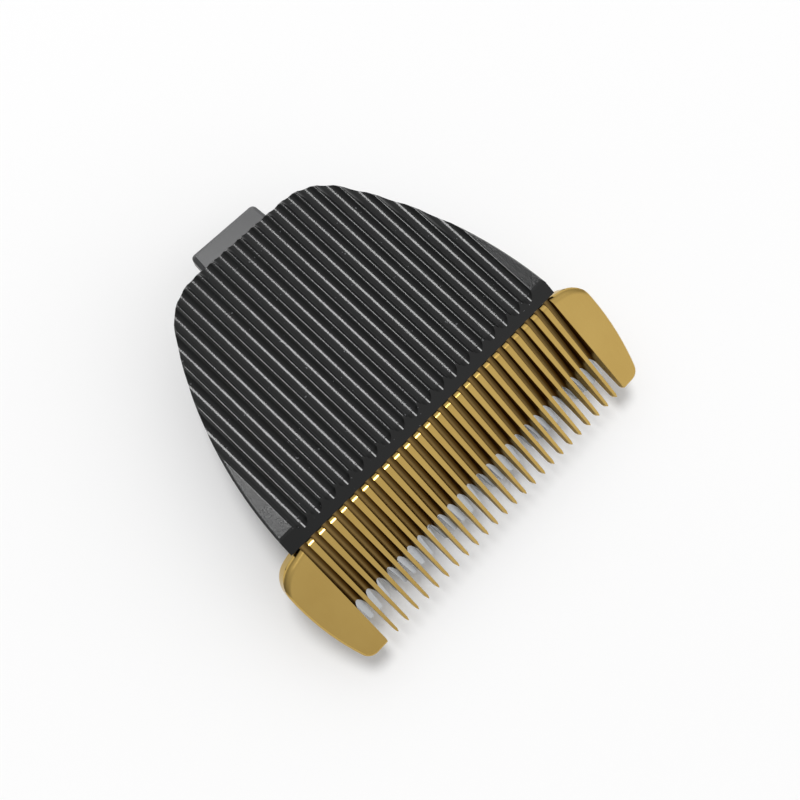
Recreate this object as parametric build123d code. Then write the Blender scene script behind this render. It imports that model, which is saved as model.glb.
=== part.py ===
from build123d import *

import os
from math import atan2, cos, degrees, hypot, radians, sin, tan

# Detachable blade head of a hair clipper, ribbed side up, standing on the rim of its frame.
# Millimetres. X runs along the row of teeth, +Y to the latch tongue, +Z up.
# While modelling, Y = 0 is the front edge of the cover's plan and Z = 0 the plane of its crests.

# Comb blade: a steel wedge with slots ground from above
tooth_count = 24
tooth_pitch = 1.57
tooth_length = 14.03
comb_slope = 22.6
comb_drop = 0.6
comb_setback = 0.05
tip_thickness = 0.9
rear_thickness = 3.0
slot_rear_width = 0.86
slot_tip_width = 1.28
slot_rear_depth = 0.75
slot_break = 5.2
slot_floor_radius = 0.8
tip_point_length = 0.35
tip_point_width = 0.1
end_plate_width = 4.45
end_plate_taper = 1.27
end_plate_radius = 30.0
end_plate_sweep = 1.0
rear_corner_radius = 2.8
front_corner_radius = 1.4
comb_edge_bevel = 0.18
comb_rear_radius = 0.9
rear_round_run = 2.4
rear_round_turn = 4.2
lug_width = 4.6
lug_reach = 8.0
lug_end_radius = 2.2
lug_spacing = 27.0
lug_root_overlap = 0.55
lug_gap = 0.45

# Ceramic cutter: a flat plate that slides along X under the comb
cutter_tooth_count = 30
cutter_tooth_pitch = 1.3
cutter_tooth_length = 2.5
cutter_root_width = 0.95
cutter_tip_width = 0.5
cutter_tip_bevel = 0.15
cutter_root_bevel = 0.1
cutter_thickness = 1.4
cutter_setback = 2.7
cutter_rear_margin = 1.9
cutter_bevel_length = 4.2
cutter_tip_thickness = 0.6
running_gap = 0.02
stroke = 1.3

# Cutter carrier: wings under the cutter and a fork for the drive pin
wing_thickness = 1.6
wing_length = 34.0
wing_depth = 5.7
wing_step = 0.4
peg_radius = 1.25
peg_spacing = 24.0
peg_clearance = 0.05
peg_recess = 0.2
fork_slot_width = 5.0
fork_wall = 2.0
fork_front = -6.0
fork_rear = 7.0
fork_web = 3.0
fork_drop = 9.8
fork_top = 5.6

# Pressure spring: one bent wire, held at the rear, its ends in the carrier's grooves
wire_radius = 0.5
wire_bend = 1.5
spring_arm_spacing = 18.0
spring_bar_end = 15.5
spring_rear = 12.0
spring_drop = 8.0
groove_clearance = 0.1
groove_depth = 0.7
pocket_margin = 0.4

# Ribbed cover: an open-bottomed shell with a fluted flat top
cover_length = 29.2
cover_front_width = 40.7
cover_rear_width = 20.2
cover_side_radius = 50.0
cover_corner_radius = 7.0
cover_height = 4.2
cover_wall = 1.5
cover_top_thickness = 1.6
cover_edge_bevel = 0.25
cover_comb_gap = 0.08
front_band = 2.1
front_band_slope = 26.0
front_wall = 2.6
flute_count = 18
flute_pitch = 2.04
flute_radius = 1.15
flute_depth = 0.47

# Base frame: deck, rim, latch tongue and spring hooks
deck_thickness = 2.0
deck_inset = 0.5
deck_window_width = 21.2
deck_window_depth = 9.5
frame_height = 11.0
rim_inset = 2.2
rim_wall = 1.6
rim_front = 4.0
locating_rib_height = 1.6
locating_rib_wall = 1.2
locating_rib_front = 9.0
fit_clearance = 0.15
tongue_width = 10.1
tongue_end_width = 9.6
tongue_reach = 3.7
tongue_root = 5.0
tongue_thickness = 1.7
tongue_drop = 3.5
tongue_corner_radius = 0.6
tongue_bevel = 0.5
hook_width = 2.0
hook_spacing = 10.0
hook_wall = 0.8
hook_mouth = 0.9

# Comb screws
screw_radius = 1.0
screw_hole_clearance = 0.1
screw_thread_clearance = 0.05
screw_head_radius = 1.8
screw_head_height = 1.2
screw_head_edge = 0.4
screw_setback = 5.0
recess_width = 0.5
recess_length = 2.0
recess_depth = 0.6

# Bigger than any piece, for trimming
reach = 120.0

# Planes and points that the pieces share
slope = radians(comb_slope)
heel_y = comb_setback + rear_thickness * sin(slope)
heel_z = -comb_drop - rear_thickness * cos(slope)
tip_y = comb_setback - tooth_length * cos(slope) + tip_thickness * sin(slope)
tip_z = -comb_drop - tooth_length * sin(slope) - tip_thickness * cos(slope)
shear_slope = atan2(heel_z - tip_z, heel_y - tip_y)
shear_length = hypot(heel_y - tip_y, heel_z - tip_z)
tooth_plane = Plane(
    origin=(0, comb_setback, -comb_drop), x_dir=(1, 0, 0), z_dir=(0, -sin(slope), cos(slope))
)
shear_plane = Plane(
    origin=(0, heel_y, heel_z), x_dir=(1, 0, 0), z_dir=(0, -sin(shear_slope), cos(shear_slope))
)
deck_top = -cover_height
deck_bottom = deck_top - deck_thickness
cutter_front = -shear_length + cutter_setback
cutter_rear = -cutter_rear_margin
carrier_top = -running_gap - cutter_thickness
carrier_bottom = carrier_top - wing_thickness


def shear_point(y, z):
    """Y and Z of a point given on the plane of the comb's underside."""
    return (
        heel_y + y * cos(shear_slope) - z * sin(shear_slope),
        heel_z + y * sin(shear_slope) + z * cos(shear_slope),
    )


cutter_heel_y = shear_point(cutter_rear, carrier_top)[0]
lug_front = cutter_heel_y + lug_gap
lug_top = heel_z + lug_root_overlap
lug_places = (-lug_spacing / 2, lug_spacing / 2)
peg_places = (-peg_spacing / 2, peg_spacing / 2)
wing_rear = cutter_rear - wing_step
wire_y = wing_rear - wing_depth / 2
wire_z = carrier_bottom + groove_depth - wire_radius
peg_y = wire_y


def block(x, y, z):
    """A box given by its lowest and highest corner on each axis."""
    size = Box(x[1] - x[0], y[1] - y[0], z[1] - z[0])
    return Pos((x[0] + x[1]) / 2, (y[0] + y[1]) / 2, (z[0] + z[1]) / 2) * size


def side_prism(points, length):
    """A profile in Y and Z, extruded along X to both sides of the middle."""
    face = make_face(Plane.YZ * Polyline(*points, close=True))
    return extrude(face, length / 2, both=True)


def rod(radius, length, y, z):
    """A round bar along X."""
    return Pos(0, y, z) * Rot(Y=90) * Cylinder(radius, length)


def cover_outline(inset=0.0):
    """The arched plan of the cover, or of what follows it further in."""
    front = cover_front_width / 2
    rear = cover_rear_width / 2
    side = RadiusArc((front, 0), (rear, cover_length), -cover_side_radius)
    face = make_face(
        [
            Line((-front, 0), (front, 0)),
            side,
            Line((rear, cover_length), (-rear, cover_length)),
            mirror(side, about=Plane.YZ),
        ]
    )
    face = fillet(face.vertices().group_by(Axis.Y)[-1], cover_corner_radius)
    return offset(face, -inset, kind=Kind.INTERSECTION) if inset else face


def ring(outer_inset, wall, low, high):
    """A wall that follows the cover's plan at a distance inside it."""
    band = cover_outline(outer_inset) - cover_outline(outer_inset + wall)
    return Pos(Z=low) * extrude(band, high - low)


def edge_waste(radius):
    """What rounding takes off an edge along X, between a top at Z = 0 and a rear wall at Y = 0."""
    corner = block((-reach / 2, reach / 2), (-radius, 0), (-radius, 0))
    return corner - rod(radius, reach, -radius, -radius)


def corner_waste(radius, turn):
    """The same for a corner, on a wider turn than the corner's own, so that the rounding fades out."""
    inner = turn - radius
    section = make_face(
        [
            Line((inner, 0), (turn, 0)),
            Line((turn, 0), (turn, -radius)),
            CenterArc((inner, -radius), radius, 0, 90),
        ]
    )
    return Pos(Y=-turn) * revolve(Plane.XZ * section, Axis.Z, 90)


def comb_slot():
    """The cut between two teeth: wider to the tips, its round floor falling through the underside."""
    spread = (slot_tip_width - slot_rear_width) / tooth_length
    behind = comb_rear_radius
    beyond = tooth_length + tip_thickness

    def half_width(run):
        return (slot_rear_width + spread * run) / 2

    point = tooth_length - tip_point_length
    side = [
        (half_width(-behind), behind),
        (half_width(point), -point),
        (half_width(tooth_length) + tip_point_width, -tooth_length),
        (half_width(beyond) + tip_point_width, -beyond),
    ]
    plan = make_face(Polyline(*side, *[(-x, y) for x, y in reversed(side)], close=True))
    walls = extrude(plan, 2 * rear_thickness, both=True)
    through = tip_thickness + slot_break * (rear_thickness - tip_thickness) / tooth_length
    fall = atan2(through - slot_rear_depth, tooth_length - slot_break)
    wheel = Rot(X=90) * Cylinder(slot_floor_radius, reach)
    wheel += block((-reach, reach), (-reach, reach), (0, reach))
    floor = Pos(Z=-slot_rear_depth) * Rot(X=degrees(fall)) * Pos(Z=slot_floor_radius) * wheel
    return walls & floor


def make_comb():
    """Comb blade, with the two lugs that hold it to the frame."""
    last_slot = tooth_count / 2 * tooth_pitch
    wide = last_slot + end_plate_width
    narrow = wide - end_plate_taper
    wedge = side_prism(
        [(0, 0), (-tooth_length, 0), (-tooth_length, -tip_thickness), (0, -rear_thickness)], reach
    )
    plan = make_face(
        [
            Line((last_slot, 0), (wide, -end_plate_sweep)),
            RadiusArc((wide, -end_plate_sweep), (narrow, -tooth_length), end_plate_radius),
            Line((narrow, -tooth_length), (last_slot, -tooth_length)),
            Line((last_slot, -tooth_length), (last_slot, 0)),
        ]
    )
    outer = plan.vertices().sort_by(Axis.X)[2:]
    plan = fillet(outer.sort_by(Axis.Y)[0], front_corner_radius)
    plan = fillet(plan.vertices().sort_by(Axis.X)[-1], rear_corner_radius)
    plate = extrude(plan, -2 * rear_thickness) & wedge
    top = plate.faces().sort_by(Axis.Z)[-1]
    plate = chamfer(top.edges().sort_by(Axis.X)[1:], comb_edge_bevel)
    blank = wedge & block((-last_slot, last_slot), (-reach, reach), (-reach, reach))
    blank += [plate, mirror(plate, about=Plane.YZ)]
    waste = edge_waste(comb_rear_radius)
    round_end = waste + Pos(X=rear_round_run) * corner_waste(comb_rear_radius, rear_round_turn)
    swept_back = degrees(atan2(end_plate_sweep, end_plate_width))
    round_end = Pos(X=last_slot) * Rot(Z=-swept_back) * round_end
    blank -= [waste, round_end, mirror(round_end, about=Plane.YZ)]
    slot = comb_slot()
    blank -= [Pos(X=(k - tooth_count / 2) * tooth_pitch) * slot for k in range(tooth_count + 1)]
    comb = tooth_plane * blank
    for x in lug_places:
        lug = block((x - lug_width / 2, x + lug_width / 2), (lug_front, lug_reach), (deck_top, lug_top))
        lug = fillet(lug.edges().filter_by(Axis.Z).group_by(Axis.Y)[-1], lug_end_radius)
        comb += lug - Pos(x, screw_setback, 0) * Cylinder(screw_radius + screw_thread_clearance, reach)
    return comb


def make_cutter():
    """Ceramic cutter, its teeth thinned from below towards the tips."""
    half = cutter_tooth_count / 2 * cutter_tooth_pitch
    root = cutter_front + cutter_tooth_length
    root_gap = (cutter_tooth_pitch - cutter_root_width) / 2
    tip_gap = (cutter_tooth_pitch - cutter_tip_width) / 2
    valley = make_face(
        Polyline(
            (-root_gap, root),
            (root_gap, root),
            (tip_gap, cutter_front),
            (-tip_gap, cutter_front),
            close=True,
        )
    )
    valley = chamfer(valley.vertices().group_by(Axis.Y)[-1], cutter_root_bevel)
    plan = Pos(0, (cutter_front + cutter_rear) / 2) * Rectangle(2 * half, cutter_rear - cutter_front)
    places = [k * cutter_tooth_pitch - half for k in range(cutter_tooth_count + 1)]
    plan -= [Pos(X=x) * valley for x in places]
    plan = chamfer(plan.vertices().group_by(Axis.Y)[0], cutter_tip_bevel)
    plan -= [Pos(x, peg_y) * Circle(peg_radius + peg_clearance) for x in peg_places]
    plate = Pos(Z=carrier_top) * extrude(plan, cutter_thickness)
    thin = -running_gap - cutter_tip_thickness
    full = cutter_front + cutter_bevel_length
    plate -= side_prism([(cutter_front, thin), (full, carrier_top), (cutter_front, carrier_top)], reach)
    return shear_plane * plate


def make_carrier():
    """Cutter carrier: wings that lie under the cutter, pegs into it, and the drive fork."""
    half = wing_length / 2
    groove = wire_radius + groove_clearance
    wings = block((-half, half), (wing_rear - wing_depth, wing_rear), (carrier_bottom, carrier_top))
    wings -= rod(groove, wing_length, wire_y, wire_z)
    wings -= block((-half, half), (wire_y - groove, wire_y + groove), (carrier_bottom, wire_z))
    pocket = (
        spring_arm_spacing / 2 - wire_radius - stroke - pocket_margin,
        spring_arm_spacing / 2 + wire_bend + stroke + pocket_margin,
    )
    for low, high in (pocket, (-pocket[1], -pocket[0])):
        wings -= block((low, high), (wire_y, wing_rear), (carrier_bottom, wire_z + groove))
    for x in peg_places:
        height = cutter_thickness - peg_recess
        wings += Pos(x, peg_y, carrier_top + height / 2) * Cylinder(peg_radius, height)
    wings = shear_plane * wings
    outer = fork_slot_width / 2 + fork_wall
    inner = fork_slot_width / 2
    fork = block((-outer, outer), (fork_front, fork_rear), (-fork_drop, -fork_top))
    fork -= block((-inner, inner), (fork_front + fork_web, fork_rear), (-fork_drop, -fork_top))
    fork += block((-outer, outer), (fork_front, fork_front + fork_web), (-fork_top, 0))
    fork &= shear_plane * block((-outer, outer), (-reach, reach), (-reach, carrier_top))
    return wings + fork


def make_spring():
    """Pressure spring: a wire staple with its ends bent outward into the carrier's grooves."""
    arm = spring_arm_spacing / 2
    front_y, front_z = shear_point(wire_y, wire_z)
    corners = [
        Vector(-spring_bar_end, front_y, front_z),
        Vector(-arm, front_y, front_z),
        Vector(-arm, spring_rear, -spring_drop),
        Vector(arm, spring_rear, -spring_drop),
        Vector(arm, front_y, front_z),
        Vector(spring_bar_end, front_y, front_z),
    ]
    path = [corners[0]]
    for before, corner, after in zip(corners, corners[1:], corners[2:]):
        path.append(corner + (before - corner).normalized() * wire_bend)
        path.append(corner + (after - corner).normalized() * wire_bend)
    path.append(corners[-1])
    section = Plane(origin=corners[0], z_dir=(1, 0, 0)) * Circle(wire_radius)
    return sweep(section, Polyline(*path), transition=Transition.RIGHT)


def make_cover():
    """Ribbed cover: fluted top, sloping front band, and a skirt that stands on the deck."""
    shell = extrude(cover_outline(), -cover_height)
    shell = chamfer(shell.faces().sort_by(Axis.Z)[-1].edges(), cover_edge_bevel)
    cavity = extrude(cover_outline(cover_wall), cover_height - cover_top_thickness)
    shell -= Pos(Z=-cover_height) * cavity & block((-reach, reach), (front_wall, reach), (-reach, reach))
    low = -(front_band + reach) * tan(radians(front_band_slope))
    shell -= side_prism([(front_band, 0), (-reach, low), (-reach, reach), (front_band, reach)], reach)
    gap = cover_comb_gap
    comb_room = block((-reach, reach), (-reach, gap), (-reach, reach))
    comb_room -= Pos(0, gap, gap) * edge_waste(comb_rear_radius + gap)
    shell -= tooth_plane * comb_room
    opening = cover_front_width / 2 - cover_wall
    shell -= block((-opening, opening), (0, front_wall), (deck_top, lug_top + fit_clearance))
    notch = tongue_width / 2 + fit_clearance
    notch_top = fit_clearance - tongue_drop
    shell -= block((-notch, notch), (cover_length - 2 * cover_wall, reach), (deck_top, notch_top))
    middle = (flute_count - 1) / 2
    flute = Pos(Z=flute_radius - flute_depth) * Rot(X=90) * Cylinder(flute_radius, reach)
    return shell - [Pos(X=(k - middle) * flute_pitch) * flute for k in range(flute_count)]


def make_frame():
    """Base frame: the deck under the cover, the rim it stands on, tongue and spring hooks."""
    frame = Pos(Z=deck_bottom) * extrude(cover_outline(deck_inset), deck_thickness)
    window = deck_window_width / 2
    frame -= block((-window, window), (0, deck_window_depth), (deck_bottom, deck_top))
    frame -= block((-reach, reach), (-reach, lug_front + fit_clearance), (-reach, reach))
    rim = ring(rim_inset, rim_wall, -frame_height, deck_bottom)
    frame += rim & block((-reach, reach), (rim_front, reach), (-reach, reach))
    rib = ring(cover_wall + fit_clearance, locating_rib_wall, deck_top, deck_top + locating_rib_height)
    frame += rib & block((-reach, reach), (locating_rib_front, reach), (-reach, reach))
    half = tongue_width / 2
    end = tongue_end_width / 2
    far = cover_length + tongue_reach
    near = cover_length - tongue_root
    side = [(half, near), (half, cover_length), (end, far)]
    plan = make_face(Polyline(*side, *[(-x, y) for x, y in reversed(side)], close=True))
    plan = fillet(plan.vertices().group_by(Axis.Y)[-1], tongue_corner_radius)
    tongue = Pos(Z=-tongue_drop) * extrude(plan, -tongue_thickness)
    tongue = chamfer(tongue.faces().sort_by(Axis.Z)[-1].edges().sort_by(Axis.Y)[-1], tongue_bevel)
    frame += tongue
    grip = wire_radius + groove_clearance
    for x in (-hook_spacing / 2, hook_spacing / 2):
        across = (x - hook_width / 2, x + hook_width / 2)
        along = (spring_rear - grip - hook_wall, spring_rear + grip + hook_wall)
        hook = block(across, along, (-spring_drop - grip - hook_wall, deck_bottom))
        hook -= rod(grip, reach, spring_rear, -spring_drop)
        mouth = (spring_rear - hook_mouth / 2, spring_rear + hook_mouth / 2)
        frame += hook - block(across, mouth, (-reach, -spring_drop))
    for x in lug_places:
        frame -= Pos(x, screw_setback, 0) * Cylinder(screw_radius + screw_hole_clearance, reach)
    return frame


def make_screws():
    """Comb screws: heads under the deck, shanks up into the comb's lugs."""
    screws = []
    for x in lug_places:
        length = lug_top - deck_bottom
        shank = Pos(Z=deck_bottom + length / 2) * Cylinder(screw_radius, length)
        head = Cylinder(screw_head_radius, screw_head_height)
        head = Pos(Z=deck_bottom - screw_head_height / 2) * head
        head = chamfer(head.faces().sort_by(Axis.Z)[0].edges(), screw_head_edge)
        low = deck_bottom - screw_head_height
        half = recess_length / 2
        arm = recess_width / 2
        head -= block((-half, half), (-arm, arm), (low, low + recess_depth))
        head -= block((-arm, arm), (-half, half), (low, low + recess_depth))
        screws.append(Pos(x, screw_setback, 0) * (shank + head))
    return Compound(children=screws)


parts = {
    "ribbed_cover": make_cover(),
    "base_frame": make_frame(),
    "comb_blade": make_comb(),
    "ceramic_cutter": make_cutter(),
    "cutter_carrier": make_carrier(),
    "pressure_spring": make_spring(),
    "comb_screws": make_screws(),
}

# The handed-over frame: origin under the middle of the whole, on the plane of the rim
front_y = parts["comb_blade"].bounding_box().min.Y
rear_y = parts["base_frame"].bounding_box().max.Y
home = Pos(0, -(front_y + rear_y) / 2, frame_height)

os.makedirs("parts", exist_ok=True)
for name, part in parts.items():
    export_step(home * part, f"parts/{name}.step")
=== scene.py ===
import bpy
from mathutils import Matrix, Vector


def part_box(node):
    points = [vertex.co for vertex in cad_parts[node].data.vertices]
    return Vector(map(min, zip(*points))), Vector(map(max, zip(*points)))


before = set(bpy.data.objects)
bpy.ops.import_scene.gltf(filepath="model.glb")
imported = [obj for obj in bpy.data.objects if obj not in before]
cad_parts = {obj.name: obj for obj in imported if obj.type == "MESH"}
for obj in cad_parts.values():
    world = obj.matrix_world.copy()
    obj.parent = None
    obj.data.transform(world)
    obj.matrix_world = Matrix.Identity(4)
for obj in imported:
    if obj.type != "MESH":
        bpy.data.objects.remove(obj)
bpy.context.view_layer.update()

import math

import bpy


# Base frame: the charcoal moulding that the whole head is built on, with the latch tongue at its rear.
# It is moulded in one shot of filled plastic, satin from the tool, with faint flow marks.

class Shade:
    """A shader socket for Python sums: each sum adds the Math node that it needs."""

    def __init__(self, tree, socket=None):
        self.tree = tree
        self.socket = socket

    def node(self, kind, sockets, settings=None, output=0):
        """Adds any node: its settings first, then the values or links of its sockets."""
        made = self.tree.nodes.new(kind)
        for name, value in (settings or {}).items():
            setattr(made, name, value)
        for name, value in sockets.items():
            target = next(s for s in made.inputs if name in (s.identifier, s.name))
            if isinstance(value, Shade):
                self.tree.links.new(value.socket, target)
            else:
                target.default_value = value
        if isinstance(output, str):
            return Shade(self.tree, next(s for s in made.outputs if output in (s.identifier, s.name)))
        return Shade(self.tree, made.outputs[output])

    def sum(self, operation, first, second=0.0):
        return self.node("ShaderNodeMath", {"Value": first, "Value_001": second}, {"operation": operation})

    def __add__(self, other):
        return self.sum("ADD", self, other)

    def __sub__(self, other):
        return self.sum("SUBTRACT", self, other)

    def __rsub__(self, other):
        return self.sum("SUBTRACT", other, self)

    def __mul__(self, other):
        return self.sum("MULTIPLY", self, other)

    def __truediv__(self, other):
        return self.sum("DIVIDE", self, other)

    def __rtruediv__(self, other):
        return self.sum("DIVIDE", other, self)

    def __abs__(self):
        return self.sum("ABSOLUTE", self)

    __radd__ = __add__
    __rmul__ = __mul__

    def axis(self, name):
        return self.node("ShaderNodeSeparateXYZ", {"Vector": self}, output=name)

    def step(self, low, high):
        """0 below low, 1 above high, smooth between; low above high turns it round."""
        limits = {"Value": self, "From Min": low, "From Max": high}
        return self.node("ShaderNodeMapRange", limits, {"interpolation_type": "SMOOTHSTEP"})

    def noise(self, scale, detail=2.0, rough=0.5):
        sizes = {"Vector": self, "Scale": scale, "Detail": detail, "Roughness": rough}
        return self.node("ShaderNodeTexNoise", sizes)

    def stretched(self, scale):
        return self.node("ShaderNodeMapping", {"Vector": self, "Scale": scale})

    def over(self, under, colour):
        """A flat colour laid over another colour, as much as this value says."""
        colours = {"Factor_Float": self, "A_Color": under, "B_Color": (*colour, 1.0)}
        return self.node("ShaderNodeMix", colours, {"data_type": "RGBA"}, "Result_Color")

    def between(self, low, high):
        """A colour from low to high as this value goes from 0 to 1."""
        return self.over((*low, 1.0), high)

    def bump(self, depth, strength=1.0):
        return self.node("ShaderNodeBump", {"Height": self, "Distance": depth, "Strength": strength})


def new_finish(name, *pieces):
    """A procedural material on CAD pieces: gives its shader and the pieces' own coordinates."""
    material = bpy.data.materials.new(name)
    material.use_nodes = True
    for piece in pieces:
        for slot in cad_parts[piece].material_slots:
            slot.material = material
    tree = material.node_tree
    return tree.nodes["Principled BSDF"], Shade(tree).node("ShaderNodeTexCoord", {}, output="Object")


def apply_finish(shader, **values):
    """Sets or links sockets of a shader: Base_Color stands for its Base Color socket."""
    for name, value in values.items():
        target = shader.inputs[name.replace("_", " ")]
        if isinstance(value, Shade):
            value.tree.links.new(value.socket, target)
        else:
            target.default_value = value


charcoal = (0.021, 0.022, 0.024)
charcoal_flow = (0.03, 0.031, 0.033)

shader, place = new_finish("charcoal_moulding", "base_frame")
flow = place.stretched((1.0, 0.35, 1.0)).noise(420.0, 4.0)
grain = place.noise(9000.0, 3.0)
apply_finish(
    shader,
    Base_Color=flow.step(0.35, 0.7).between(charcoal, charcoal_flow),
    Roughness=0.27 + 0.08 * flow + 0.05 * grain,
    Normal=grain.bump(0.000012, 0.5),
)


# Comb blade: a steel wedge, ground, slotted and then coated gold, with its edges rounded by tumbling.
# Its lugs are screwed down on the frame; the coating is thin, so the satin of the steel shows through.

gold = (0.53, 0.362, 0.11)
gold_dull = (0.49, 0.325, 0.094)
# Painted shade: the slots are painted this darker gold to stand in for the shade inside them.
slot_shade_gold = (0.23, 0.147, 0.05)
comb_slope = math.radians(22.6)
comb_rear_y = -0.00995
comb_rear_z = 0.0104
slot_pitch = 0.00157
slot_rear_half = 0.00043
slot_spread = 0.015
last_slot = 12.5 * slot_pitch

shader, place = new_finish("gold_coated_steel", "comb_blade")
cloud = place.noise(160.0, 3.0)
grind = place.stretched((9000.0, 500.0, 2000.0)).noise(1.0, 3.0, 0.6)
across = place.axis("X")
behind = place.axis("Y") - comb_rear_y
above = place.axis("Z") - comb_rear_z
depth = behind * math.sin(comb_slope) - above * math.cos(comb_slope)
run = behind * -math.cos(comb_slope) - above * math.sin(comb_slope)
off_slot = abs(across - slot_pitch * across.sum("ROUND", across / slot_pitch))
# in_slot marks the slot recesses, which get the painted shade colour and a rougher finish.
in_slot = (slot_rear_half + slot_spread * run - off_slot).step(-0.00006, -0.00003)
in_slot = in_slot * depth.step(0.00006, 0.00025) * abs(across).step(last_slot, last_slot - 0.00002)
polish = (0.7 * cloud + 0.3 * grind).step(0.3, 0.75).between(gold, gold_dull)
apply_finish(
    shader,
    Base_Color=in_slot.over(polish, slot_shade_gold),
    Metallic=1.0,
    Roughness=0.14 + 0.03 * cloud + 0.03 * grind + 0.14 * in_slot,
    Normal=grind.bump(0.0000015, 0.3),
    Specular_Tint=(0.9, 0.82, 0.62, 1.0),
)


# Comb screws: two small pan heads of plated steel, driven up through the deck into the comb's lugs.
# The plating is dull and a little mottled.

plating = (0.40, 0.40, 0.41)
plating_dark = (0.27, 0.27, 0.28)

shader, place = new_finish("plated_steel", "comb_screws")
mottle = place.noise(2600.0, 4.0)
apply_finish(
    shader,
    Base_Color=mottle.step(0.3, 0.7).between(plating, plating_dark),
    Metallic=1.0,
    Roughness=0.3 + 0.15 * mottle,
    Normal=mottle.bump(0.000006, 0.4),
)


# Ceramic cutter: a fired and lapped white ceramic plate that shuttles under the comb.
# It is pegged to its carrier, and has a faint blue cast and fine lapping lines along its travel.

ceramic = (0.62, 0.65, 0.68)
ceramic_shade = (0.55, 0.585, 0.625)

shader, place = new_finish("white_ceramic", "ceramic_cutter")
lapping = place.stretched((700.0, 7000.0, 7000.0)).noise(1.0, 3.0)
cloud = place.noise(500.0, 3.0)
apply_finish(
    shader,
    Base_Color=(0.5 * lapping + 0.5 * cloud).step(0.35, 0.7).between(ceramic, ceramic_shade),
    Roughness=0.3 + 0.12 * lapping,
    Normal=lapping.bump(0.000004, 0.3),
)


# Cutter carrier: the black plastic driver under the cutter, with the fork for the drive pin.
# It is moulded smooth, with rub marks where the pin and the spring work on it.

driver_black = (0.014, 0.014, 0.015)
driver_rub = (0.03, 0.03, 0.031)

shader, place = new_finish("driver_plastic", "cutter_carrier")
rub = place.stretched((300.0, 2500.0, 2500.0)).noise(1.0, 4.0)
apply_finish(
    shader,
    Base_Color=rub.step(0.5, 0.75).between(driver_black, driver_rub),
    Roughness=0.36 - 0.12 * rub.step(0.5, 0.75),
    Normal=rub.bump(0.000008, 0.4),
)


# Pressure spring: one length of drawn spring wire, bent to a staple and clipped into the frame's hooks.
# Its ends lie in the carrier's grooves and press the cutter up against the comb.

wire = (0.55, 0.55, 0.56)
wire_drawn = (0.42, 0.42, 0.43)

shader, place = new_finish("drawn_wire", "pressure_spring")
draw_marks = place.stretched((1500.0, 1500.0, 9000.0)).noise(1.0, 3.0)
apply_finish(
    shader,
    Base_Color=draw_marks.step(0.3, 0.7).between(wire, wire_drawn),
    Metallic=1.0,
    Roughness=0.18 + 0.14 * draw_marks,
    Normal=draw_marks.bump(0.000003, 0.4),
)


# Ribbed cover: a black moulded shell, clipped over the frame, with a fluted top for the thumb.
# The flutes have a fine spark-eroded grain; the sloping front band is smooth and painted a darker black as
# painted shade, and dust lies here and there.

black = (0.006, 0.0064, 0.0064)
black_worn = (0.0105, 0.0112, 0.0112)
band_shade_black = (0.0012, 0.0014, 0.0013)
dust_grey = (0.16, 0.165, 0.17)
band_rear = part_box("ribbed_cover")[0][1] + 0.0019
crest_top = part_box("ribbed_cover")[1][2]
flute_pitch = 0.00204
flat_from = 9.0 * flute_pitch
crest_half = 0.000095
crest_radius = 0.0003

shader, place = new_finish("black_grained_plastic", "ribbed_cover")
across = place.axis("X")
grain = place.noise(5600.0, 3.0, 0.6)
cloud = place.noise(380.0, 3.0)
grained = place.axis("Y").step(band_rear - 0.0003, band_rear)
flat = abs(across).step(flat_from, flat_from + 0.0001)
off_crest = abs(across - flute_pitch * across.sum("ROUND", across / flute_pitch))
off_crest = off_crest.sum("MINIMUM", off_crest, crest_half)
crest = (crest_half * crest_half - off_crest * off_crest) / (2.0 * crest_radius)
on_top = place.axis("Z").step(crest_top - 0.0001, crest_top - 0.00003) * (1.0 - flat)
height = 0.000012 * grain * (1.0 + 2.0 * flat) + crest * on_top
dust = place.noise(2600.0, 1.0).step(0.735, 0.765) * cloud.step(0.45, 0.6)
colour = (0.55 * grain + 0.45 * cloud).step(0.35, 0.75).between(black, black_worn)
# Painted shade: the smooth front band gets a darker copy of the black, standing in for the shade on its
# slope.
colour = (1.0 - grained).over(colour, band_shade_black)
apply_finish(
    shader,
    Base_Color=(0.7 * dust).over(colour, dust_grey),
    Roughness=0.1 + grained * (0.04 * grain + 0.11 * flat) + 0.02 * cloud,
    Normal=(height * grained).bump(1.0),
    Specular_IOR_Level=0.35,
)


# Studio: a pale floor, one soft box overhead, paler surroundings to the right and front than to the left,
# and the camera that took the photograph, a little in front of the head and high above it.

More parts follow.
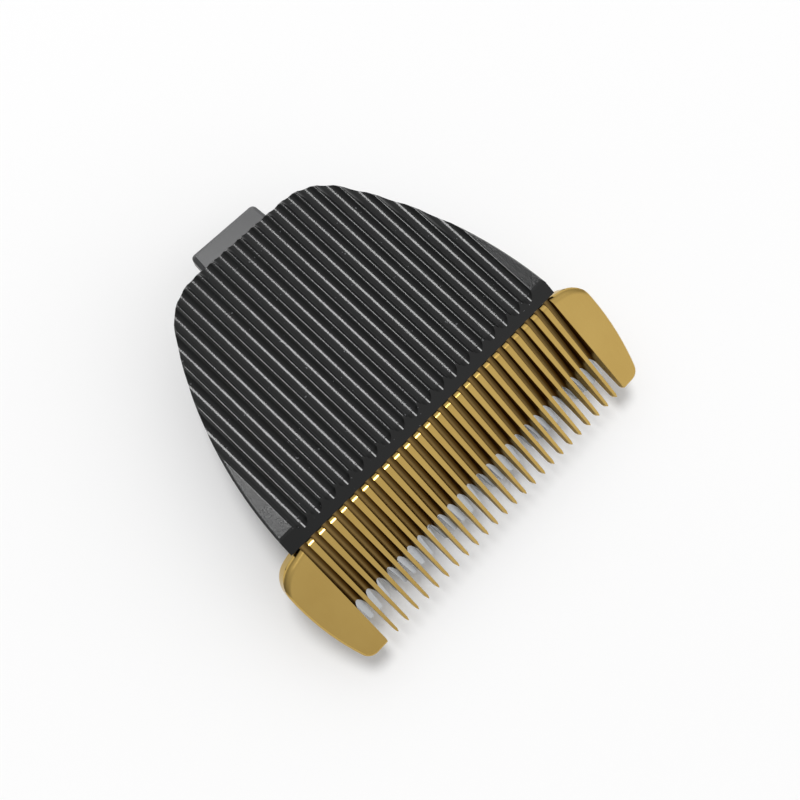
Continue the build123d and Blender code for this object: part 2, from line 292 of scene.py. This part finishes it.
scene = bpy.context.scene
scene.view_settings.view_transform = "Standard"
bpy.ops.object.select_all(action="DESELECT")

bpy.ops.mesh.primitive_plane_add(size=4.0, location=(0.0, 0.0, 0.0))
floor = bpy.context.object
floor.name = "studio_floor"
paper = bpy.data.materials.new("floor_paper")
paper.use_nodes = True
tree = paper.node_tree
tree.nodes.remove(tree.nodes["Principled BSDF"])
start = Shade(tree)
matt = start.node("ShaderNodeBsdfDiffuse", {"Color": (0.92, 0.92, 0.92, 1.0)})
tree.links.new(matt.socket, tree.nodes["Material Output"].inputs["Surface"])
floor.data.materials.append(paper)

key_distance = 2.0
key_from = (0.085, 0.26, 0.962)

world = bpy.data.worlds.new("studio")
world.use_nodes = True
scene.world = world
tree = world.node_tree
start = Shade(tree)
toward = start.node("ShaderNodeTexCoord", {}, output="Generated")
across, along, up = (toward.axis(name) for name in "XYZ")
front = along.step(-0.1, -0.7) * across.step(-0.6, 0.3)
skirt = (key_from[0] * across + key_from[1] * along + key_from[2] * up).step(0.5, 1.0)
glow = 0.22 + 0.27 * across.step(-0.5, 0.45) + 0.54 * front + 0.42 * skirt + 0.14 * along.step(0.3, 0.8)
horizon = up.step(0.3, 0.1)
level = horizon * 0.88 + (1.0 - horizon) * glow
tree.links.new(level.socket, tree.nodes["Background"].inputs["Strength"])
tree.nodes["Background"].inputs["Color"].default_value = (1.0, 1.0, 1.0, 1.0)

bpy.ops.object.light_add(type="AREA", location=[key_distance * c for c in key_from])
key = bpy.context.object
key.name = "overhead_soft_box"
key.data.shape = "ELLIPSE"
key.data.size = 0.6
key.data.size_y = 0.7
key.data.energy = 17.8
key.rotation_euler = (-math.asin(key_from[1]), math.asin(key_from[0]), 0.0)

bpy.ops.object.camera_add(
    location=(-0.021687, -0.023742, 0.105737),
    rotation=[math.radians(turn) for turn in (15.723, -4.441, -46.788)],
)
camera = bpy.context.object
camera.name = "photo_camera"
camera.data.sensor_width = 36.0
camera.data.lens = 41.625
camera.data.shift_x = -0.0682
camera.data.shift_y = 0.0031
camera.data.clip_start = 0.005
scene.camera = camera
